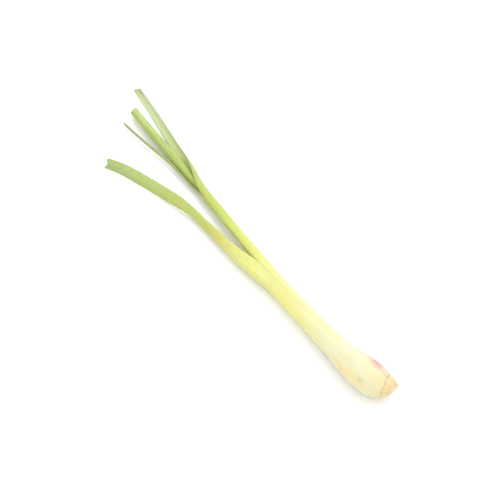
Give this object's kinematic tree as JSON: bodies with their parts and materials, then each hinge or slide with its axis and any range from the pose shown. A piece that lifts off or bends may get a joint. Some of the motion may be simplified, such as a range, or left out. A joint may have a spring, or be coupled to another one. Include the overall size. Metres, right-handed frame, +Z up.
{
  "type": "lemongrass stalk",
  "caption": "Cut lemongrass stalk lying down: a cream bulb with its root end, wrapped leaf sheaths and cut green blades.",
  "frame": {"origin": "on the surface that the stalk lies on, in the middle of the small flat under the bulb", "axes": "+X along the stalk from the bulb to the leaf tips, +Z up, +Y towards the side on which the outer leaf parts from the stem"},
  "size_m": [0.3316, 0.0666, 0.0231],
  "materials": {
    "root_tan": "matt, fibrous and cut across",
    "cream_sheath": "smooth waxy leaf, finely ribbed, cream at the bulb and green at the tip",
    "lime_sheath": "smooth waxy leaf, finely ribbed, pink tinged cream to lime and green",
    "young_leaf": "satin rolled leaf, finely ribbed",
    "grey_green_leaf": "satin leaf, finely ribbed"
  },
  "bodies": {
    "root": {"root_crown": "root_tan", "outer_leaf": "cream_sheath", "second_leaf": "lime_sheath", "rolled_stem": "young_leaf", "spear_leaf": "grey_green_leaf"}
  },
  "joints": []
}
